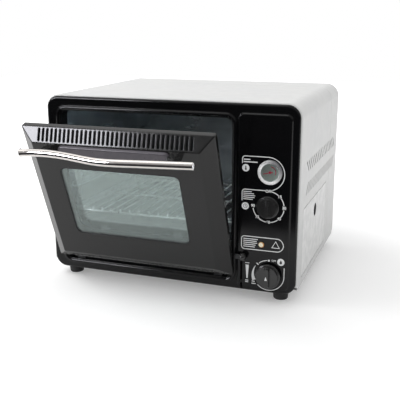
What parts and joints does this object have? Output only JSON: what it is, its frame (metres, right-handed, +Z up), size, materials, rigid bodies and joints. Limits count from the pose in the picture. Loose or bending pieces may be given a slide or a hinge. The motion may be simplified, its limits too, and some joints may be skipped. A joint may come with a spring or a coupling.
{
  "type": "portable gas oven",
  "caption": "Bench-top gas oven for camping: sheet-metal cabinet, drop-down glazed door with bowed handle, control pad with dial thermometer and knobs, cartridge bay on the right.",
  "frame": {"origin": "on the ground plane under the feet, at the middle of the oven's width and of its overall depth with the door ajar", "axes": "+X to the right when facing the door, +Y to the back, +Z up"},
  "size_m": [0.465, 0.531, 0.3385],
  "materials": {
    "grey_paint": "satin light grey powder coat",
    "black_enamel": "gloss black enamel",
    "door_paint": "satin charcoal paint",
    "grey_steel": "zinc-coated sheet, dull",
    "dark_steel": "dark heat-resistant paint",
    "stainless": "brushed stainless steel",
    "bright_chrome": "bright chrome plate",
    "clear_glass": "clear tempered glass",
    "black_plastic": "black phenolic, satin",
    "plate_plastic": "dark plum-grey moulding, satin",
    "rubber": "black rubber",
    "seal": "dark silicone seal",
    "brass": "turned brass",
    "copper": "copper tube",
    "amber": "amber lens",
    "ceramic": "glazed white",
    "dial": "printed dial plate",
    "needle_red": "red paint",
    "burner_steel": "heat-tinted steel"
  },
  "bodies": {
    "cabinet": {"outer_shell": "grey_paint", "front_frame": "black_enamel", "back_panel": "grey_steel", "bottom_pan": "grey_paint", "feet": "rubber", "cabinet_screws": "bright_chrome", "flue_duct": "grey_steel", "flue_cover": "grey_steel", "oven_liner": "grey_steel", "rack_rail_left": "grey_steel", "rack_rail_right": "grey_steel", "rail_screws": "bright_chrome", "wire_rack": "bright_chrome", "baking_tray": "dark_steel", "burner_tube": "burner_steel", "burner_supports": "burner_steel", "burner_cover": "grey_steel", "electrode": "ceramic", "bay_wall": "grey_steel", "heat_shield": "grey_steel", "gas_pipe": "copper", "valve_body": "brass", "regulator": "brass", "igniter": "black_plastic", "cartridge_cradle": "grey_steel", "pusher_guides": "black_plastic", "lever_pivot": "grey_steel", "timer_body": "black_plastic", "thermometer_capillary": "copper", "sight_lens": "amber", "sight_bezel": "black_plastic", "cartridge_door_hinges": "grey_steel", "door_catch": "black_plastic", "hinge_brackets": "dark_steel", "thermometer_case": "grey_steel", "thermometer_dial": "dial", "thermometer_bezel": "bright_chrome", "thermometer_lens": "clear_glass"},
    "valve_plunger": {"valve_plunger": "brass"},
    "gas_knob": {"valve_stem": "stainless", "gas_knob": "black_plastic"},
    "timer_knob": {"timer_spindle": "stainless", "timer_knob": "black_plastic"},
    "thermometer_needle": {"thermometer_needle": "needle_red"},
    "lever": {"lever_arm": "dark_steel", "lever_knob": "black_plastic"},
    "cartridge_pusher": {"cartridge_pusher": "grey_steel"},
    "cartridge_door": {"cartridge_door": "grey_paint"},
    "door": {"door_skin": "door_paint", "grip_plate": "plate_plastic", "door_inner_panel": "dark_steel", "outer_glass": "clear_glass", "inner_glass": "clear_glass", "glass_clips": "grey_steel", "door_gasket": "seal", "handle_tube": "stainless", "handle_brackets": "black_plastic", "handle_screws": "bright_chrome", "hinge_arms": "dark_steel", "hinge_pins": "stainless"}
  },
  "joints": [
    {"name": "door_hinge", "type": "hinge", "parent": "cabinet", "child": "door", "pos_m": [-0.043, -0.1148, 0.0515], "axis": [1, 0, 0], "range_deg": [-21, 64]},
    {"name": "gas_push", "type": "slide", "parent": "cabinet", "child": "valve_plunger", "axis": [0, 1, 0], "range_m": [0, 0.004], "stiffness_N_per_m": 400},
    {"name": "gas_turn", "type": "hinge", "parent": "valve_plunger", "child": "gas_knob", "pos_m": [0.1845, -0.1138, 0.0485], "axis": [0, 1, 0], "range_deg": [-130, 0]},
    {"name": "timer_turn", "type": "hinge", "parent": "cabinet", "child": "timer_knob", "pos_m": [0.181, -0.1138, 0.1675], "axis": [0, 1, 0], "range_deg": [0, 270]},
    {"name": "needle_turn", "type": "hinge", "parent": "cabinet", "child": "thermometer_needle", "pos_m": [0.1835, -0.1078, 0.2264], "axis": [0, 1, 0], "range_deg": [0, 240], "stiffness_Nm_per_rad": 0.002},
    {"name": "lever_turn", "type": "hinge", "parent": "cabinet", "child": "lever", "pos_m": [0.1364, -0.0418, 0.051], "axis": [1, 0, 0], "range_deg": [0, 41.9]},
    {"name": "pusher_slide", "type": "slide", "parent": "cabinet", "child": "cartridge_pusher", "axis": [0, -1, 0], "range_m": [0, 0.0086]},
    {"name": "cartridge_door_hinge", "type": "hinge", "parent": "cabinet", "child": "cartridge_door", "pos_m": [0.228, 0.0387, 0.045], "axis": [0, 1, 0], "range_deg": [0, 95]}
  ],
  "couplings": [
    {"joint": "pusher_slide", "follows": "lever_turn", "m_per_rad": 0.011753}
  ]
}
